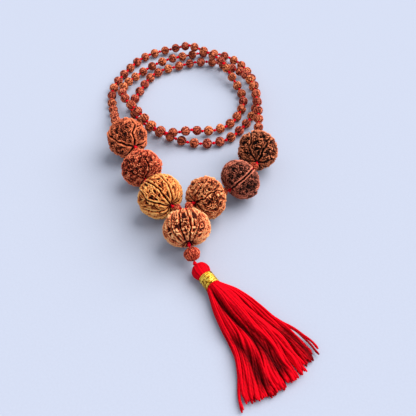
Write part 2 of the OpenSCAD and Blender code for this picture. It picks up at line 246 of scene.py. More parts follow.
def cell_distances(x, y, period, seed):
    """Distances to the nearest and second nearest point of a jittered lattice."""
    i, j = np.floor(x).astype(int), np.floor(y).astype(int)
    nearest = np.full(x.shape, np.inf)
    second = nearest.copy()
    for a in (i - 1, i, i + 1):
        for b in (j - 1, j, j + 1):
            px = a + JITTER_START + JITTER * lattice_random(a % period, b, seed)
            py = b + JITTER_START + JITTER * lattice_random(a % period, b, seed + 1)
            d = np.hypot(x - px, y - py)
            second = np.minimum(second, np.maximum(nearest, d))
            nearest = np.minimum(nearest, d)
    return nearest, second


class Surface:
    """Collects rings of points into one mesh, with named values at its points."""

    def __init__(self):
        self.points, self.faces, self.values = [], [], {}
        self.size = 0

    def add(self, rings, looped=False, **values):
        """rings[r, s] is point s of ring r. Looped rings meet; others get a cap at each end."""
        rows, sides = rings.shape[:2]
        index = self.size + np.arange(rows * sides).reshape(rows, sides)
        here = index if looped else index[:-1]
        there = np.roll(index, -1, axis=0) if looped else index[1:]
        quads = np.stack([here, np.roll(here, -1, 1), np.roll(there, -1, 1), there], axis=-1)
        self.faces.extend(quads.reshape(-1, 4).tolist())
        if not looped:
            self.faces.append(index[0, ::-1].tolist())
            self.faces.append(index[-1].tolist())
        self.points.append(rings.reshape(-1, 3))
        for name, value in values.items():
            full = np.broadcast_to(value, (rows, sides) + np.shape(value)[2:])
            flat = full.reshape((rows * sides,) + full.shape[2:])
            self.values.setdefault(name, []).append(flat)
        self.size += rows * sides

    def make(self, name, material, body, slot, *replaced):
        """The mesh as a piece that rides on a body and stands for CAD nodes."""
        mesh = bpy.data.meshes.new(name)
        mesh.from_pydata(np.concatenate(self.points).tolist(), [], self.faces)
        for key, parts in self.values.items():
            data = np.concatenate(parts).astype(np.float32)
            kind, field = ("FLOAT", "value") if data.ndim == 1 else ("FLOAT_VECTOR", "vector")
            mesh.attributes.new(key, kind, "POINT").data.foreach_set(field, data.ravel())
        mesh.polygons.foreach_set("use_smooth", np.ones(len(mesh.polygons), bool))
        mesh.materials.append(material)
        mesh.update()
        piece = bpy.data.objects.new(name, mesh)
        bpy.context.scene.collection.objects.link(piece)
        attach(piece, body)
        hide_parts(*replaced)
        return piece


def tube_rings(path, radius, sides, reference):
    """Rings of a tube along a path, and the angle of each side, measured from reference."""
    tangent = unit(np.gradient(path, axis=0))
    side = unit(np.cross(tangent, np.broadcast_to(reference, path.shape)))
    up = np.cross(tangent, side)
    angle = np.arange(sides) * 2 * math.pi / sides
    radius = np.broadcast_to(radius, (len(path),))[:, None, None]
    spread = side[:, None] * np.cos(angle)[:, None] + up[:, None] * np.sin(angle)[:, None]
    return path[:, None] + radius * spread, angle


def yarn_values(path, angle):
    """Cosine and sine of the angle round a yarn, and the distance along it, for its twist."""
    travel = distances_along(path)
    rows, sides = len(path), len(angle)
    return np.stack([np.tile(np.cos(angle), (rows, 1)), np.tile(np.sin(angle), (rows, 1)),
                     np.tile(travel[:, None], (1, sides))], axis=-1)


# --- rudraksha seeds


@dataclass
class Seed:
    """One kind of seed: its size, its faces, and how its surface is carved. Lengths in metres."""
    diameter: float
    length: float
    bore: float  # radius
    faces: int  # with a groove between each two
    cells: tuple  # of the carving, round the seed and along it
    relief: float  # depth of the carving
    seed: int  # of the noise
    pits: float  # strengths of the three marks, 0 to 1
    cracks: float
    worms: float = 0.3
    groove: float = 0.0002  # depth
    groove_width: float = 0.0003
    lip: float = 0.3  # how high the lips beside the grooves stand out
    wander: float = 0.3  # of the grooves, as a share of a face
    hollow: float = 0.0  # depth of the mouths
    steps: tuple = (320, 180)  # points of a ring, and rings


BORE_RINGS = 3
RIM_HEIGHT, RIM_WIDTH = 0.25, 0.0012  # of the rim round a hollow, the height as a share of it
MOUTH_WIDTH = 0.0012  # over which the carving starts outside the bore


def outline(kind):
    """Place along, radius, height and outward normal, from the lower mouth to the upper one."""
    half = kind.length / 2
    shoulder = kind.diameter / 2 - half
    flat = shoulder - kind.bore
    total = 2 * flat + math.pi * half
    s = np.linspace(0, total, kind.steps[1])
    turn = np.clip((s - flat) / half, 0, math.pi) - math.pi / 2
    radius = shoulder + half * np.cos(turn)
    radius = np.where(s < flat, kind.bore + s, radius)
    radius = np.where(s > total - flat, kind.bore + total - s, radius)
    height = half * np.sin(turn)
    if kind.hollow:
        sphere = (HOLLOW_R ** 2 + kind.hollow ** 2) / (2 * kind.hollow)
        dip = np.sqrt(np.maximum(sphere ** 2 - radius ** 2, 0)) - (sphere - kind.hollow)
        rim = RIM_HEIGHT * kind.hollow * np.exp(-((radius - HOLLOW_R) / RIM_WIDTH) ** 2)
        height -= np.sign(height) * (np.maximum(dip, 0) + rim)
    slope_r, slope_z = np.gradient(radius), np.gradient(height)
    size = np.hypot(slope_r, slope_z)
    return s / total, radius, height, slope_z / size, -slope_r / size


# Every noise of the carving adds a number of its own to the kind's seed.
# Grooves: waves of their slow and fast wander, and the share of the fast one.
SLOW_WAVES, FAST_WAVES, FAST_SHARE = 5, 14, 0.4
# Lips: distance from the groove in groove widths, waves along them and least height.
LIP_OFFSET, LIP_WAVES, LIP_LEAST = 2.2, 16, 0.35
# Cells: how far they follow the grooves and are bent, and the stretch of the bending.
CELL_DRIFT, CELL_WARP = 0.6, 1.2
X_STRETCH, Y_STRETCH = 1.3, 1.1
# Marks, in cells: size of a pit, its variety, and where each kind of mark fades out.
PIT_SIZE, PIT_VARIETY, PIT_EDGE = 0.25, 0.12, 0.12
CRACK_EDGE = (0.02, 0.34)
WORM_LEVEL, WORM_EDGE = 0.48, (0.012, 0.06)
COARSE_SHARE, FINE_SHARE = 0.65, 0.35
# Share of the carving and of the grooves that is left at the mouths.
MOUTH_RELIEF, MOUTH_GROOVE = 0.3, 0.4
# What marks, knobs and lips do to the depth and to the shade: painted shade on deep marks, grooves
# and knobs, and a painted highlight on the lips.
MARK_DEPTH, KNOB_DEPTH = 0.85, 0.6
MARK_PAINTED_SHADE, KNOB_PAINTED_SHADE, LIP_PAINTED_HIGHLIGHT = 1.15, 0.2, 0.3


def face_lines(kind, turn, along, radius):
    """The grooves between the faces, the lips beside them, and how far the grooves wander."""
    faces = kind.faces
    wander = kind.wander * off_centre(turn * faces, along * SLOW_WAVES, faces, kind.seed)
    wander += FAST_SHARE * kind.wander * off_centre(turn * faces * 2, along * FAST_WAVES,
                                                    faces * 2, kind.seed + 3)
    place = turn * faces + wander
    off_line = np.abs(place - np.round(place)) / faces * 2 * math.pi * radius
    line = np.exp(-(off_line / kind.groove_width) ** 2)
    lip = np.exp(-((off_line - LIP_OFFSET * kind.groove_width) / kind.groove_width) ** 2)
    uneven = value_noise(turn * faces * 3, along * LIP_WAVES, faces * 3, kind.seed + 5)
    return line, lip * (LIP_LEAST + (1 - LIP_LEAST) * uneven), wander


def cell_marks(kind, x, y):
    """The strongest of the pits, cracks and worms at places in cells, and the knobs there."""
    around = kind.cells[0]
    x_warp = x + CELL_WARP * off_centre(x, y * X_STRETCH, around, kind.seed + 11)
    y_warp = y + CELL_WARP * off_centre(x, y * Y_STRETCH, around, kind.seed + 12)
    nearest, second = cell_distances(x_warp, y_warp, around, kind.seed + 20)
    size = PIT_SIZE + PIT_VARIETY * value_noise(x, y, around, kind.seed + 22)
    pit = 1 - smoothstep(size - PIT_EDGE, size + PIT_EDGE, nearest)
    crack = 1 - smoothstep(*CRACK_EDGE, second - nearest)
    maze = COARSE_SHARE * value_noise(x * 2, y * 2, around * 2, kind.seed + 31)
    maze += FINE_SHARE * value_noise(x * 4, y * 4, around * 4, kind.seed + 32)
    worm = 1 - smoothstep(*WORM_EDGE, np.abs(maze - WORM_LEVEL))
    knob = value_noise(x / 2 + 0.5, y / 2, max(around // 2, 1), kind.seed + 33)
    marks = np.maximum(np.maximum(kind.pits * pit, kind.cracks * crack), kind.worms * worm)
    return marks, knob


def carve(kind, turn, along, radius):
    """Depth of the surface below the outline, and its shade, which is painted shade: 0 in a
    crevice, 1 on a ridge, with a painted highlight on the lips.
    """
    swell = np.sin(along * math.pi)
    line, lip, wander = face_lines(kind, turn, along, radius)
    around, lengthwise = kind.cells
    x, y = (turn + CELL_DRIFT * wander / kind.faces) * around, along * lengthwise
    marks, knob = cell_marks(kind, x, y)
    marks = marks * (1 - kind.lip * lip)
    depth = kind.relief * (MARK_DEPTH * marks + KNOB_DEPTH * knob)
    depth *= MOUTH_RELIEF + (1 - MOUTH_RELIEF) * swell
    depth += kind.groove * line * (MOUTH_GROOVE + (1 - MOUTH_GROOVE) * swell)
    # Painted shade: deep marks, grooves and knobs are darker. Painted highlight: the raised lips
    # are lighter.
    shade = 1 - MARK_PAINTED_SHADE * np.maximum(marks, line) - KNOB_PAINTED_SHADE * knob
    shade += LIP_PAINTED_HIGHLIGHT * kind.lip * lip * (1 - line)
    return depth, np.clip(shade, 0, 1)


def seed_rings(kind):
    """Rings of points of a seed along +Z with its bore, and the painted shade of each point."""
    sides = kind.steps[0]
    along, radius, height, normal_r, normal_z = outline(kind)
    turn = np.arange(sides) / sides
    grid = np.meshgrid(along, turn, indexing="ij")
    depth, shade = carve(kind, grid[1], grid[0], radius[:, None])
    edge = smoothstep(0, MOUTH_WIDTH, radius - kind.bore)[:, None]
    ring_r = np.maximum(radius[:, None] - normal_r[:, None] * depth * edge, kind.bore)
    ring_z = height[:, None] - normal_z[:, None] * depth * edge
    bore_z = np.linspace(1, -1, BORE_RINGS + 2)[1:-1, None] * abs(height[-1])
    ring_r = np.vstack([ring_r, np.full((BORE_RINGS, sides), kind.bore)])
    ring_z = np.vstack([ring_z, np.broadcast_to(bore_z, (BORE_RINGS, sides))])
    # The bore is painted darkest: painted shade inside it.
    shade = np.vstack([shade, np.zeros((BORE_RINGS, sides))])
    angle = turn * 2 * math.pi
    return np.stack([ring_r * np.cos(angle), ring_r * np.sin(angle), ring_z], axis=-1), shade


def placed(rings, centre, axis, roll=0.0, size=1.0):
    """Rings drawn along +Z, turned to lie along axis and moved to centre."""
    side = unit(np.cross(axis, [0.0, 0.0, 1.0]))
    up = np.cross(axis, side)
    turned_side = side * math.cos(roll) + up * math.sin(roll)
    return rings * size @ np.stack([turned_side, np.cross(axis, turned_side), axis]) + centre


def middle_and_axis(a, b):
    """Halfway point and direction of the line from a to b."""
    return (a + b) / 2, unit(b - a)


# --- materials


class Nodes:
    """A short way to build a procedural material."""

    def __init__(self, name):
        self.material = bpy.data.materials.new(name)
        self.material.use_nodes = True
        self.tree = self.material.node_tree
        self.shader = self.tree.nodes["Principled BSDF"]

    def node(self, kind, settings=None, **inputs):
        """The first output of a new node. Inputs go by name, or by number as i0, i1 and so on."""
        made = self.tree.nodes.new("ShaderNode" + kind)
        for key, value in (settings or {}).items():
            setattr(made, key, value)
        for key, value in inputs.items():
            numbered = key[0] == "i" and key[1:].isdigit()
            self.set(made.inputs[int(key[1:]) if numbered else key], value)
        return made.outputs[0]

    def set(self, socket, value):
        """Links one input to another node's output, or sets it to a value."""
        if isinstance(value, bpy.types.NodeSocket):
            self.tree.links.new(value, socket)
        else:
            socket.default_value = value

    def read(self, attribute, output="Fac"):
        """A value stored at the points of the mesh."""
        made = self.tree.nodes.new("ShaderNodeAttribute")
        made.attribute_name = attribute
        return made.outputs[output]

    def math(self, operation, a, b=0.0):
        """One step of arithmetic."""
        return self.node("Math", {"operation": operation}, i0=a, i1=b)

    def noise(self, scale, detail=3.0, roughness=0.55):
        """Noise over the object's own space, scale in cells per metre."""
        place = self.tree.nodes.new("ShaderNodeTexCoord").outputs["Object"]
        return self.node("TexNoise", Vector=place, Scale=scale, Detail=detail, Roughness=roughness)

    def spread(self, value, low, high, start=0.0, end=1.0):
        """value from start..end moved to low..high."""
        return self.node("MapRange", {"interpolation_type": "LINEAR"}, i0=value, i1=start, i2=end,
                         i3=low, i4=high)

    def ramp(self, value, stops, colours):
        """Colours, in 0 to 255 display values, at stops along a value."""
        made = self.tree.nodes.new("ShaderNodeValToRGB")
        self.set(made.inputs[0], value)
        bar = made.color_ramp.elements
        while len(bar) < len(stops):
            bar.new(0.5)
        for element, stop, colour in zip(bar, stops, colours):
            element.position = stop
            element.color = (*srgb(*colour), 1)
        return made.outputs["Color"]

    def tinted(self, colour, hue, value):
        """A colour with its hue moved (0.5 keeps it) and its brightness multiplied."""
        return self.node("HueSaturation", Hue=hue, Saturation=1.0, Value=value, Color=colour)

    def bump(self, height, distance, strength):
        """A bent normal, for a height of 0 to 1 that stands for distance metres."""
        return self.node("Bump", Height=height, Distance=distance, Strength=strength)

    def finish(self, **inputs):
        """Sets the shader's inputs; underscores stand for spaces in their names."""
        for key, value in inputs.items():
            self.set(self.shader.inputs[key.replace("_", " ")], value)
        return self.material


def srgb(r, g, b):
    """A colour given in 0 to 255 display values, as the shader wants it."""
    return tuple((c / 255 / 12.92) if c <= 10.3 else ((c / 255 + 0.055) / 1.055) ** 2.4
                 for c in (r, g, b))


NOISE_MIDDLE = (0.3, 0.7)  # where most of a noise's values lie
NO_HUE_SHIFT = 0.5

# Seeds: noise in cells per metre, and where on the shade, painted shade with the seed's own
# mottling, each colour lies.
MOTTLE_SCALE, GRAIN_SCALE, FIBRE_SCALE = 260, 2600, 5200
MOTTLING = (-0.14, 0.14)
SEED_STOPS = (0.16, 0.4, 0.6, 0.83)
SEED_HUES, SEED_VALUES = (0.492, 0.508), (0.78, 1.2)
SEED_ROUGHNESS = (0.78, 0.40)  # in a crevice and on a ridge
GRAIN_DEPTH = 0.00022


def seed_material(name, *colours):
    """Dry, mottled seed with the colours of its crevices, low ground, flesh and ridges, picked by
    painted shade.
    """
    n = Nodes(name)
    mottle, grain = n.noise(MOTTLE_SCALE), n.noise(GRAIN_SCALE, 4, 0.7)
    # The shade attribute is painted shade and highlight from the carving; grain and mottle add the
    # seed's own uneven tone.
    shade = n.math("ADD", n.read("shade"), n.spread(grain, *MOTTLING))
    shade = n.math("ADD", shade, n.spread(mottle, *MOTTLING, *NOISE_MIDDLE))
    colour = n.ramp(shade, SEED_STOPS, colours)
    tint = n.read("tint")
    colour = n.tinted(colour, n.spread(tint, *SEED_HUES), n.spread(tint, *SEED_VALUES))
    fibre = n.noise(FIBRE_SCALE, 2)
    worn = n.math("ADD", shade, n.spread(grain, -0.3, 0.3))
    height = n.math("ADD", grain, n.math("MULTIPLY", fibre, 0.4))
    return n.finish(
        Base_Color=colour,
        Roughness=n.spread(worn, *SEED_ROUGHNESS),
        Normal=n.bump(height, GRAIN_DEPTH, 0.8),
        Specular_IOR_Level=0.15,
    )


YARN_STOPS = (0.1, 0.42, 0.8)
YARN_PATCH_SCALE, YARN_VALUES = 220, (0.9, 1.1)
YARN_ROUGHNESS = (0.55, 0.85)
PLY_DEPTH = 0.0002
FUZZ_HEIGHT = 0.5
SHEEN_COLOUR = srgb(255, 30, 40)


def yarn_material(name, colours, weights, plies, pitch, sheen, fuzz_scale):
    """Twisted yarn: its plies wind round it once in every pitch metres.

    The weights say how much the ply, the fuzz and the yarn's tint count in its shade. The ply
    paints shade between the plies; the tint is a yarn's own tone and, on the tassel, also painted
    shade.
    """
    n = Nodes(name)
    place = n.node("SeparateXYZ", Vector=n.read("yarn", "Vector")).node
    around = n.math("ARCTAN2", place.outputs["Y"], place.outputs["X"])
    turns = n.math("MULTIPLY", place.outputs["Z"], 2 * math.pi * plies / pitch)
    # Painted shade: the ply stripe darkens the grooves between the plies, and also makes their
    # bump.
    ply = n.math("SINE", n.math("ADD", n.math("MULTIPLY", around, plies), turns))
    ply = n.spread(ply, 0, 1, -1, 1)
    fuzz = n.noise(fuzz_scale, 3, 0.7)
    shade = 0.0
    for part, weight in zip((ply, fuzz, n.read("tint")), weights):
        shade = n.math("ADD", n.math("MULTIPLY", part, weight), shade)
    colour = n.ramp(shade, YARN_STOPS, colours)
    patches = n.spread(n.noise(YARN_PATCH_SCALE), *YARN_VALUES, *NOISE_MIDDLE)
    colour = n.tinted(colour, NO_HUE_SHIFT, patches)
    n.set(n.shader.inputs["Sheen Tint"], (*SHEEN_COLOUR, 1))
    height = n.math("ADD", n.math("MULTIPLY", ply, 2 * weights[0]),
                    n.math("MULTIPLY", fuzz, FUZZ_HEIGHT))
    return n.finish(
        Base_Color=colour,
        Roughness=n.spread(fuzz, *YARN_ROUGHNESS),
        Normal=n.bump(height, PLY_DEPTH, 0.7),
        Sheen_Weight=sheen,
        Sheen_Roughness=0.5,
        Specular_IOR_Level=0.05,
    )


# Gold from dark brown to bright yellow: the spread is painted shade and painted glints.
GOLD_STOPS = (0.25, 0.5, 0.72)
GOLD_COLOURS = ((92, 48, 4), (214, 154, 30), (255, 226, 100))
FACET_SCALE, CREASE_SCALE = 950, 4200
CREASE_SHARE, TINT_SHARE, FACET_SHARE = 0.3, 0.25, 0.45
FACET_HEIGHT, CREASE_HEIGHT = 0.8, 0.3
FACET_DEPTH = 0.0003
GOLD_ROUGHNESS = (0.16, 0.5)


def gold_material():
    """Flat metallic thread: facets with painted glints and shade, small creases with painted shade,
    and slightly uneven gold.
    """
    n = Nodes("gold_thread")
    place = n.tree.nodes.new("ShaderNodeTexCoord").outputs["Object"]
    facets = n.node("TexVoronoi", {"feature": "F1"}, Vector=place, Scale=FACET_SCALE).node
    creases = n.noise(CREASE_SCALE, 3, 0.6)
    split = n.node("SeparateXYZ", Vector=facets.outputs["Color"]).node
    facet_height, painted_facet_light, facet_roughness = (split.outputs[key] for key in "XYZ")
    # Painted light: creases darken and facets go lighter or darker, as painted shade and glints;
    # the tint is the gold's own unevenness.
    shade = n.math("ADD", n.math("MULTIPLY", creases, CREASE_SHARE),
                   n.math("MULTIPLY", n.read("tint"), TINT_SHARE))
    shade = n.math("ADD", shade, n.math("MULTIPLY", painted_facet_light, FACET_SHARE))
    height = n.math("ADD", n.math("MULTIPLY", facet_height, FACET_HEIGHT),
                    n.math("MULTIPLY", creases, CREASE_HEIGHT))
    return n.finish(
        Base_Color=n.ramp(shade, GOLD_STOPS, GOLD_COLOURS),
        Metallic=0.85,
        Roughness=n.spread(facet_roughness, *GOLD_ROUGHNESS),
        Normal=n.bump(height, FACET_DEPTH, 1.0),
    )


# Small bead colours, picked by painted shade: crevice, low ground, flesh and ridge.
small_material = seed_material("small_rudraksha", (60, 12, 5), (146, 56, 32), (214, 98, 62),
                               (246, 150, 104))
# Yarn reds from dark to bright; the dark end is painted shade between the plies and, on the tassel,
# low in the bundle, in the folds and on the head's core.
THREAD_REDS = ((120, 0, 12), (214, 0, 24), (250, 12, 40))
TASSEL_REDS = ((28, 0, 4), (132, 0, 8), (226, 0, 24))
thread_material = yarn_material("red_thread", THREAD_REDS, weights=(0.4, 0.3, 0.4), plies=3,
                                pitch=0.0022, sheen=0.05, fuzz_scale=5200)
tassel_material = yarn_material("tassel_yarn", TASSEL_REDS, weights=(0.1, 0.2, 0.8), plies=2,
                                pitch=0.0052, sheen=0.04, fuzz_scale=3800)

# --- threads and knots

KNOT_TUBE = 0.5  # radius of the thread in a knot, as a share of the knot's
KNOT_HEIGHT = 0.62  # height of a knot, as a share of its reach
KNOT_LEAN = 0.35
KNOT_TINTS = (0.2, 0.9)
KNOT_STEPS = 48
KNOT_SIDES = 8
THREAD_SIDES = 10
THREAD_STEP = 0.0009
THREAD_FINE_STEP = 0.0002
MIDDLE_TINT = 0.5  # tints of pieces run from 0, dark, to 1
SIDE_CORD_GAP = 0.00005  # between the joining knot and the cords of the sides
rng = np.random.default_rng(108)


def add_knot(surface, centre, axis, radius):
    """A tied knot: a trefoil of thread, drawn tight."""
    tube = KNOT_TUBE * radius
    reach = radius - tube
    t = np.linspace(0, 2 * math.pi, KNOT_STEPS, endpoint=False)
    x = (np.sin(t) + 2 * np.sin(2 * t)) / 3 * reach
    y = (np.cos(t) - 2 * np.cos(2 * t)) / 3 * reach
    z = -np.sin(3 * t) * KNOT_HEIGHT * reach
    roll = rng.uniform(0, 2 * math.pi)
    lean = unit(axis + rng.uniform(-KNOT_LEAN, KNOT_LEAN, 3))
    path = placed(np.stack([x, y, z], axis=1), centre, lean, roll)
    closed = np.vstack([path[-1:], path, path[:1]])
    rings, angle = tube_rings(closed, tube, KNOT_SIDES, lean)
    surface.add(rings[1:-1], looped=True, yarn=yarn_values(path, angle),
                tint=rng.uniform(*KNOT_TINTS))


def thread_path(knots):
    """Points along the knots' line, close together where the thread can be seen at a knot."""
    line = [knots[0]]
    for a, b in zip(knots[:-1], knots[1:]):
        span = np.linalg.norm(b - a)
        near = np.arange(THREAD_FINE_STEP, 2 * KNOT_R, THREAD_FINE_STEP)
        far = np.arange(2 * KNOT_R, span - 2 * KNOT_R, THREAD_STEP)
        places = np.concatenate([near, far, span - near[::-1], [span]])
        line.extend(a + unit(b - a) * d for d in places)
    return np.array(line)


def add_thread(surface, knots):
    """Thread drawn straight from knot to knot."""
    path = thread_path(knots)
    rings, angle = tube_rings(path, THREAD_R, THREAD_SIDES, [0, 0, 1])
    surface.add(rings, yarn=yarn_values(path, angle), tint=MIDDLE_TINT)


def between(knots, start_gap, end_gap):
    """The knots with the first and last moved in by a gap."""
    moved = np.array(knots)
    moved[0] += unit(knots[1] - knots[0]) * start_gap
    moved[-1] -= unit(knots[-1] - knots[-2]) * end_gap
    return moved


def build_strand_cord():
    """The strand's thread with its knots, one piece from the first knot to the last."""
    surface = Surface()
    add_thread(surface, strand_knots)
    before = np.vstack([strand_knots[:1], strand_knots[:-1]])
    after = np.vstack([strand_knots[1:], strand_knots[-1:]])
    for knot, axis in zip(strand_knots, unit(after - before)):
        add_knot(surface, knot, axis, KNOT_R)
    return surface.make("strand_cord", thread_material, "strand", "red_thread",
                        "strand_thread_first_turn", "strand_thread_second_turn",
                        "strand_thread_third_turn")


def build_side_cord(name, knots, node):
    """The thread of one side, with a knot before and after every large bead."""
    ends = between(knots, JOINING_KNOT_R + SIDE_CORD_GAP, END_ROOM)
    surface = Surface()
    add_thread(surface, ends)
    for i in range(1, 6):
        add_knot(surface, knots[i], unit(knots[i + 1] - knots[i - 1]), KNOT_R)
    cord = surface.make(name, thread_material, "bib", "red_thread", node)


def build_guru_cord():
    """The thread through the guru bead, with the joining knot above it."""
    surface = Surface()
    add_thread(surface, np.array([JOINING_KNOT, GURU_LOW_KNOT]))
    add_knot(surface, JOINING_KNOT, GURU_AXIS, JOINING_KNOT_R)
    add_knot(surface, GURU_LOW_KNOT, PENDANT_AXIS, KNOT_R)
    surface.make("guru_cord", thread_material, "bib", "red_thread", "guru_thread")


def build_pendant_cord():
    """The thread through the pendant bead, from the knot under the guru bead into the tie."""
    surface = Surface()
    ends = between(np.array([GURU_LOW_KNOT, TASSEL_KNOT]), 0, TASSEL_KNOT_R / 2)
    add_thread(surface, ends)
    surface.make("pendant_cord", thread_material, "pendant_link", "red_thread", "pendant_thread")


strand_cord = build_strand_cord()
build_side_cord("left_cord", left_knots, "left_thread")
build_side_cord("right_cord", right_knots, "right_thread")
build_guru_cord()
build_pendant_cord()

# --- small beads

SMALL_KINDS = 8
SMALL_SIZES = (1.01, 1.04)  # of the small beads, as shares of the CAD's


def small_kinds():
    """Several carvings of a small bead, for each bead to draw one."""
    return [seed_rings(Seed(SMALL_D, SMALL_LEN, SMALL_BORE, faces=5, cells=(12, 7),
                            relief=0.0004, seed=40 + 7 * k, pits=0.8, cracks=0.5,
                            groove=0.0004, steps=(46, 28)))
            for k in range(SMALL_KINDS)]


def build_small_beads():
    """Twelve runs of eight small beads, each bead turned and sized a little differently."""
    kinds = small_kinds()
    runs = []
    for run in range(BEAD_COUNT // BEADS_PER_RUN):
        surface = Surface()
        for i in range(run * BEADS_PER_RUN, (run + 1) * BEADS_PER_RUN):
            centre, axis = middle_and_axis(strand_knots[i], strand_knots[i + 1])
            rings, shade = kinds[rng.integers(SMALL_KINDS)]
            rings = placed(rings, centre, axis * rng.choice([-1, 1]),
                           rng.uniform(0, 2 * math.pi), rng.uniform(*SMALL_SIZES))
            surface.add(rings, looped=True, shade=shade, tint=rng.uniform(0, 1))
        name = f"{run + 1:02d}"
        runs.append(surface.make("small_seeds_" + name, small_material, "strand", "small_rudraksha",
                                 "small_beads_" + name))
    return runs


small_runs = build_small_beads()

# --- large beads


def side_levels():
    """Each side and level of the large beads, with the level's number and the side's knots."""
    for side, knots in (("left", left_knots), ("right", right_knots)):
        for i, level in enumerate(("lower", "middle", "upper")):
            yield side, level, i, knots


def build_seed(name, kind, centre, axis, material, slot):
    """One seed that turns on its thread, in place of its CAD bead."""
    rings, shade = seed_rings(kind)
    surface = Surface()
    surface.add(placed(rings, centre, axis), looped=True, shade=shade, tint=MIDDLE_TINT)
    surface.make(name + "_seed", material, name, slot, name)


# Colours of each large bead, picked by painted shade: crevice, low ground, flesh and ridge.
LARGE_COLOURS = {
    "left_upper_bead": ((34, 6, 3), (122, 42, 20), (204, 92, 56), (250, 140, 92)),
    "left_middle_bead": ((50, 9, 4), (170, 52, 30), (248, 106, 70), (255, 160, 112)),
    "left_lower_bead": ((40, 9, 2), (154, 58, 20), (240, 132, 64), (255, 188, 108)),
    "guru_bead": ((60, 13, 6), (184, 76, 42), (252, 136, 86), (255, 190, 130)),
    "right_lower_bead": ((50, 12, 6), (166, 70, 38), (246, 132, 82), (255, 186, 124)),
    "right_middle_bead": ((20, 6, 4), (80, 32, 22), (150, 76, 58), (226, 128, 100)),
    "right_upper_bead": ((14, 5, 3), (84, 34, 20), (170, 86, 54), (246, 146, 100)),
}


def large_kind(d, length, faces, cells, relief, marks, groove, width, lip, wander, seed):
    """A large seed with hollow mouths; marks are the strengths of its pits, cracks and worms."""
    return Seed(d, length, LARGE_BORE, faces, cells, relief, seed, *marks, groove, width, lip,
                wander, HOLLOW_DEPTH)


# How each large bead is carved, in the order of large_kind.
LARGE_KINDS = {
    "left_upper_bead": (LEFT_D[2], LEFT_LEN[2], 5, (40, 19), 0.0022, (1.0, 0.7, 0.3),
        0.0018, 0.0006, 0.9, 0.26, 101),
    "left_middle_bead": (LEFT_D[1], LEFT_LEN[1], 5, (48, 20), 0.0018, (1.0, 0.9, 0.3),
        0.0012, 0.0005, 0.4, 0.30, 202),
    "left_lower_bead": (LEFT_D[0], LEFT_LEN[0], 10, (40, 11), 0.0021, (1.0, 0.5, 0.3),
        0.0020, 0.0005, 0.9, 0.24, 303),
    "guru_bead": (GURU_D, GURU_LEN, 15, (44, 10), 0.0024, (0.9, 0.9, 0.4),
        0.0018, 0.0005, 0.6, 0.36, 404),
    "right_lower_bead": (RIGHT_D[0], RIGHT_LEN[0], 7, (36, 16), 0.0025, (0.9, 0.9, 0.3),
        0.0014, 0.0005, 0.6, 0.36, 505),
    "right_middle_bead": (RIGHT_D[1], RIGHT_LEN[1], 6, (44, 20), 0.0020, (1.0, 0.9, 0.4),
        0.0018, 0.0005, 1.0, 0.22, 606),
    "right_upper_bead": (RIGHT_D[2], RIGHT_LEN[2], 6, (32, 17), 0.0028, (1.0, 1.0, 0.3),
        0.0018, 0.0006, 0.6, 0.36, 707),
}


def build_large_beads():
    """Seven large seeds, each with a colour and a carving of its own."""
    places = {"guru_bead": (GURU_CENTRE, GURU_AXIS)}
    for side, level, i, knots in side_levels():
        places[f"{side}_{level}_bead"] = middle_and_axis(knots[2 * i + 1], knots[2 * i + 2])
    for name, carving in LARGE_KINDS.items():
        material = seed_material(name, *LARGE_COLOURS[name])
        build_seed(name, large_kind(*carving), *places[name], material, name)


def build_little_beads():
    """Six spacer beads and the pendant bead, finely ridged and redder than the rest."""
    # Spacer and pendant colours, picked by painted shade: crevice, low ground, flesh and ridge.
    spacer_material = seed_material("spacer_rudraksha", (90, 16, 8), (184, 56, 34), (240, 96, 62),
                                    (255, 150, 102))
    for side, level, i, knots in side_levels():
        start = JOINING_KNOT_R + JOIN_GAP if i == 0 else END_ROOM
        ends = between(knots[2 * i:2 * i + 2], start, END_ROOM)
        kind = Seed(SPACER_D, SPACER_LEN, LARGE_BORE, faces=5, cells=(18, 8), relief=0.0006,
                    seed=800 + 11 * i + len(side), pits=0.9, cracks=0.7, steps=(72, 44))
        build_seed(f"{side}_{level}_spacer", kind, *middle_and_axis(*ends), spacer_material,
                   "spacer_rudraksha")
    kind = Seed(PENDANT_D, PENDANT_LEN, LARGE_BORE, faces=6, cells=(30, 13), relief=0.0007,
                seed=900, pits=0.8, cracks=0.8, steps=(130, 80))
    pendant_material = seed_material("pendant_rudraksha", (96, 18, 8), (192, 58, 36),
                                     (242, 94, 64), (255, 150, 104))
    centre = GURU_LOW_KNOT + PENDANT_AXIS * (END_ROOM + PENDANT_LEN / 2)
    build_seed("pendant_bead", kind, centre, PENDANT_AXIS, pendant_material, "pendant_rudraksha")


build_large_beads()
build_little_beads()

# --- tassel

WRAP_START, WRAP_LEN, WRAP_R = 0.0105, 0.008, 0.0045

# Stations of the skirt: distance from the knot, half width, half height, sideways lean and
# height above the floor.
SKIRT = np.array([
    (0.0160, 0.0034, 0.0034, 0.0, 0.0019), (0.0186, 0.0042, 0.0042, 0.0002, 0.0008),
    (0.0245, 0.0082, 0.0044, 0.0018, 0.0002), (0.033, 0.0116, 0.0043, 0.0021, 0.0002),
    (0.044, 0.0140, 0.0040, 0.0025, 0.0002), (0.053, 0.0152, 0.0037, 0.0026, 0.0002),
    (0.063, 0.0196, 0.0032, 0.0024, 0.0002), (0.073, 0.0242, 0.0027, -0.0004, 0.0002),
    (0.087, 0.0282, 0.0022, -0.0034, 0.0002),
])
SKIRT_YARNS = 168
SKIRT_PIECES = 3
DRIFT = 0.03  # sideways, by chance
CROSSING_YARNS = 14  # the last ones, which lie on top and drift across
CROSSING_PLACES, CROSSING_HEIGHT, CROSSING_DRIFTS = (-0.6, 0.4), 0.8, (0.1, 0.4)
SKIRT_STEPS = 60
YARN_SIDES = 8
NECK_YARN_R, END_YARN_R = 0.00052, 0.00066
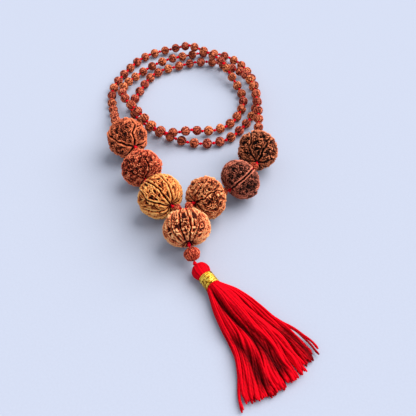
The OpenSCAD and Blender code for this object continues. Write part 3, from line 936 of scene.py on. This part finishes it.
GOLDEN_ANGLE = math.pi * (3 - math.sqrt(5))

# Cut ends: distance from the knot, and how much shorter at the edges, by bundle and by chance.
CUT_END, EDGE_CUT, BUNDLE_CUT, CUT_SPREAD = 0.0862, 0.0072, 0.0011, 0.0009
END_TAPER = (1.1, 1.0, 0.6)  # of the last rings of a yarn
THICKNESSES = (0.92, 1.08)  # of the yarns, as shares of their radius
# Tints of the lowest and the top yarns, the lower ones darker as painted shade, and their spread by
# chance.
SHADED_LOW_TINT, LIT_TOP_TINT, TINT_CHANCE = 0.5, 0.9, 0.25
LOOSENING = (0.020, 0.085)  # distances between which the yarns come loose
WAVES = ((0.0009, 0.046), (0.0005, 0.023), (0.0002, 0.011))  # reach and length
WAVE_STRENGTHS, MOST_PHASE = (0.2, 1), 6.3
BUNCHING, BUNCH_WAVES = 0.04, 23  # sideways shift of the yarns into bundles
UPRIGHT_WAVES = 0.35  # height of the waves, as a share of their reach
FLOOR_GAP = 0.0001
FOLD_START, FOLD_END = (-0.004, 0.006), (-0.002, 0.008)
# How much a fold flattens the yarns, and how much painted shade it puts on their tint.
FOLD_FLATTENS, FOLD_PAINTED_SHADE = 0.7, 0.95

# Folds of the skirt: distances from the knot and places across (-1 to 1), width and depth; the
# depth flattens the yarns and paints shade on them.
FOLDS = [
    ((0.019, 0.026, 0.040, 0.058, 0.076), (-0.62, -0.55, -0.38, -0.14, 0.06), 0.17, 1.0),
    ((0.030, 0.045, 0.062, 0.078), (-0.2, -0.12, 0.08, 0.2), 0.06, 0.7),
    ((0.048, 0.060, 0.079), (-0.86, -0.6, -0.34), 0.15, 0.95),
    ((0.034, 0.050, 0.066), (0.42, 0.56, 0.62), 0.06, 0.6),
    ((0.056, 0.068, 0.082), (0.70, 0.76, 0.78), 0.16, 0.75),
]
# Longer yarns at the edges: place across, height in the bundle and where each is cut.
STRAYS = [(-1.0, -0.6, 0.0826), (-0.97, -0.2, 0.0820), (-0.94, 0.2, 0.0808), (0.94, 0.0, 0.0812)]

tassel_turn = math.radians(TASSEL_HEADING)
tassel_frame = np.array([[math.cos(tassel_turn), math.sin(tassel_turn), 0],
                         [-math.sin(tassel_turn), math.cos(tassel_turn), 0],
                         [0, 0, 1]])


def on_tassel(points):
    """Points given along, across and above the tassel knot, moved to where the tassel lies."""
    return points @ tassel_frame + TASSEL_KNOT


def smoothed(s, stations, column, reach):
    """A column of the stations at the distances s, each the mean of itself and its neighbours."""
    value = np.pad(np.interp(s, stations[:, 0], stations[:, column]), reach, mode="edge")
    count = 2 * reach + 1
    return np.convolve(value, np.ones(count) / count, mode="valid")


def wound(s, reach, turn):
    """Points at distances s and turned by turn, at a reach from the middle of the tassel."""
    return np.stack([s, reach * np.cos(turn), reach * np.sin(turn)], axis=1)


def fold_depth(s, across):
    """How deep the folds are at distances s and places across, from 0 to 1."""
    depth = np.zeros_like(s)
    for distances, places, width, strength in FOLDS:
        along = smoothstep(*(distances[0] + np.array(FOLD_START)), s)
        along *= 1 - smoothstep(*(distances[-1] + np.array(FOLD_END)), s)
        off = (across - np.interp(s, distances, places)) / width
        depth = np.maximum(depth, strength * along * np.exp(-off ** 2))
    return depth


def skirt_places():
    """Where each yarn lies: its place across, height in the bundle, sideways drift and cut end."""
    for i in range(SKIRT_YARNS):
        share = math.sqrt((i + 0.5) / SKIRT_YARNS)
        turn = i * GOLDEN_ANGLE
        across, above, drift = share * math.cos(turn), share * math.sin(turn), rng.normal(0, DRIFT)
        if i >= SKIRT_YARNS - CROSSING_YARNS:
            across, above = rng.uniform(*CROSSING_PLACES), CROSSING_HEIGHT
            drift = rng.uniform(*CROSSING_DRIFTS)
        bundle = math.sin(across * BUNCH_WAVES) * math.sin(across * 9 + 1)
        end = CUT_END - EDGE_CUT * across ** 2 - BUNDLE_CUT * (1 + bundle)
        yield across, above, drift, end - abs(rng.normal(0, CUT_SPREAD))
    for across, above, end in STRAYS:
        yield across, above, 0.0, end


def skirt_path(across, above, drift, end):
    """Path, radius and tint of one yarn, from the wrap to its cut end, with its own waves; the tint
    holds painted shade, low in the bundle and in the folds.
    """
    s = np.linspace(SKIRT[0, 0], end, SKIRT_STEPS)
    width, height, lean, floor = (smoothed(s, SKIRT, k, 4) for k in (1, 2, 3, 4))
    loose = smoothstep(*LOOSENING, s)
    waves = sum(rng.uniform(*WAVE_STRENGTHS) * reach
                * np.sin(2 * math.pi * s / length + rng.uniform(0, MOST_PHASE))
                for reach, length in WAVES)
    place = np.clip(across + drift * loose, -1, 1)
    bunch = BUNCHING * np.sin(place * BUNCH_WAVES + 2 * np.sin(s * 60)) * loose
    y = lean + (width - END_YARN_R) * (place + bunch) + waves * loose
    radius = NECK_YARN_R + (END_YARN_R - NECK_YARN_R) * loose
    fold = fold_depth(s, place)
    z = (height - radius) * (1 + above) * (1 - FOLD_FLATTENS * fold) + radius + floor
    z += UPRIGHT_WAVES * waves[::-1] * loose * (0.6 + above)
    z = np.maximum(z, radius + FLOOR_GAP) - TASSEL_KNOT[2]
    radius = radius * rng.uniform(*THICKNESSES)
    radius[-len(END_TAPER):] *= END_TAPER
    # Painted shade: yarns lower in the bundle get a darker tint.
    tint = SHADED_LOW_TINT + (LIT_TOP_TINT - SHADED_LOW_TINT) * (above + 1) / 2
    # Painted shade: the folds darken the tint, which also has a spread by chance.
    tint = (tint + rng.uniform(-TINT_CHANCE, TINT_CHANCE)) * (1 - FOLD_PAINTED_SHADE * fold)
    return np.stack([s, y, z], axis=1), radius, tint[:, None]


def build_skirt():
    """The loose yarns below the wrap, shared out between a few pieces."""
    surfaces = [Surface() for _ in range(SKIRT_PIECES)]
    for i, place in enumerate(skirt_places()):
        path, radius, tint = skirt_path(*place)
        path = on_tassel(path)
        rings, angle = tube_rings(path, radius, YARN_SIDES, [0, 0, 1])
        surfaces[i % SKIRT_PIECES].add(rings, yarn=yarn_values(path, angle), tint=tint)
    for k, surface in enumerate(surfaces):
        replaced = ["tassel_skirt"] if k == 0 else []
        surface.make(f"tassel_yarns_{k + 1}", tassel_material, "tassel", "tassel_yarn", *replaced)


# Stations of the head under its yarns: distance from the knot and radius.
HEAD = np.array([
    (0.0012, 0.0004), (0.0018, 0.0014), (0.0024, 0.0026), (0.0033, 0.0038), (0.0047, 0.0047),
    (0.0062, 0.0050), (0.0078, 0.0048), (0.0092, 0.0041), (0.0103, 0.0035), (0.0115, 0.0032),
    (0.0150, 0.0032), (0.0186, 0.0034),
])
HEAD_YARNS = 38
HEAD_YARN_R = 0.00050
HEAD_STEPS = 60
HEAD_TWIST, TWIST_END = 0.25, 0.014  # how far the yarns turn, and where that ends
HEAD_JITTER, HEAD_UNEVEN = 0.05, 0.00025
HEAD_THICKNESSES = (0.95, 1.08)
HEAD_TINTS = (0.45, 0.95)
NECK_R = 0.0032  # below this the yarns get thinner
CORE_SIDES = 24


def build_head():
    """Yarns from the tie round a bulging head and on under the wrap, over a core painted dark for
    the shade between them.
    """
    surface = Surface()
    s = np.linspace(HEAD[0, 0], HEAD[-1, 0], HEAD_STEPS)
    radius = smoothed(s, HEAD, 1, 3)
    twist = HEAD_TWIST * smoothstep(0, TWIST_END, s)
    for i in range(HEAD_YARNS):
        turn = 2 * math.pi * i / HEAD_YARNS + rng.uniform(-HEAD_JITTER, HEAD_JITTER) + twist
        path = wound(s, radius - rng.uniform(0, HEAD_UNEVEN), turn)
        outward = wound(np.zeros_like(s), 1, turn)
        thick = HEAD_YARN_R * np.clip(radius / NECK_R, 0.5, 1) * rng.uniform(*HEAD_THICKNESSES)
        rings, angle = tube_rings(on_tassel(path), thick, YARN_SIDES, outward @ tassel_frame)
        surface.add(rings, yarn=yarn_values(path, angle), tint=rng.uniform(*HEAD_TINTS))
    core = wound(s, 0, np.zeros_like(s))
    rings, angle = tube_rings(on_tassel(core), radius, CORE_SIDES, [0, 0, 1])
    # The core gets the darkest tint: painted shade in the gaps between the head yarns.
    surface.add(rings, yarn=yarn_values(core, angle), tint=0.0)
    surface.make("tassel_head_yarns", tassel_material, "tassel", "tassel_yarn", "tassel_head")


# Layers of the wrap: turns, radius of the thread and distance from the middle.
WRAP_LAYERS = ((12, 0.00040, WRAP_R - 0.00075), (15, 0.00036, WRAP_R - 0.00036))
STEPS_PER_TURN = 40
WOBBLES = ((0.00008, 5.1), (0.00006, 13.7))  # reach along the tassel, and waves
WRAP_TINTS = ((0.4, 3.3), (0.2, 17))  # reach from the middle tint, and waves


def build_wrap():
    """Metallic thread wound over the yarns in two layers."""
    surface = Surface()
    for turns, thick, reach in WRAP_LAYERS:
        t = np.linspace(0, turns, turns * STEPS_PER_TURN)
        wobble, shift = (sum(size * np.sin(t * waves) for size, waves in parts)
                         for parts in (WOBBLES, WRAP_TINTS))
        s = WRAP_START + thick + (WRAP_LEN - 2 * thick) * t / turns + wobble
        path = wound(s, reach, 2 * math.pi * t)
        rings, angle = tube_rings(on_tassel(path), thick, YARN_SIDES, tassel_frame[0])
        tint = np.clip(MIDDLE_TINT + shift, 0, 1)[:, None]
        surface.add(rings, yarn=yarn_values(path, angle), tint=tint)
    surface.make("tassel_gold_wrap", gold_material(), "tassel", "gold_thread", "tassel_wrap")


def build_tassel_knot():
    """The knot that ties the tassel on."""
    surface = Surface()
    add_knot(surface, TASSEL_KNOT, PENDANT_AXIS, TASSEL_KNOT_R)
    surface.make("tassel_tie", thread_material, "tassel_knot", "tassel_yarn", "tassel_knot")


build_skirt()
build_head()
build_wrap()
build_tassel_knot()

# --- floor and light

FLOOR_SIZE = 4.0
FLOOR_GRAIN_SCALE = 900
FLOOR_COLOURS = ((174, 180, 197), (177, 183, 200))
SUN_TOWARD = (0.58, 0.28, 0.76)  # from the beads to the light
SUN_STRENGTH = 4.15
SUN_SPREAD = 62  # degrees
SUN_COLOUR = (1.0, 0.975, 0.95)
WORLD_COLOUR = (0.88, 0.94, 1.0)
WORLD_STRENGTH = 0.66


def add_floor():
    """A plain pale floor."""
    bpy.ops.mesh.primitive_plane_add(size=FLOOR_SIZE)
    floor = bpy.context.object
    floor.name = "floor"
    n = Nodes("floor")
    colour = n.ramp(n.noise(FLOOR_GRAIN_SCALE, 2), NOISE_MIDDLE, FLOOR_COLOURS)
    floor.data.materials.append(n.finish(Base_Color=colour, Roughness=0.95, Specular_IOR_Level=0.1))


def add_sun():
    """Soft light from one side, far away."""
    data = bpy.data.lights.new("key", "SUN")
    data.energy = SUN_STRENGTH
    data.angle = math.radians(SUN_SPREAD)
    data.color = SUN_COLOUR
    light = bpy.data.objects.new("key", data)
    light.rotation_euler = Vector(SUN_TOWARD).to_track_quat("Z", "Y").to_euler()
    bpy.context.scene.collection.objects.link(light)


def add_world():
    """Even pale light from all round."""
    world = bpy.data.worlds.new("world")
    world.use_nodes = True
    background = world.node_tree.nodes["Background"]
    background.inputs["Color"].default_value = (*WORLD_COLOUR, 1)
    background.inputs["Strength"].default_value = WORLD_STRENGTH
    bpy.context.scene.world = world


add_floor()
add_sun()
add_world()
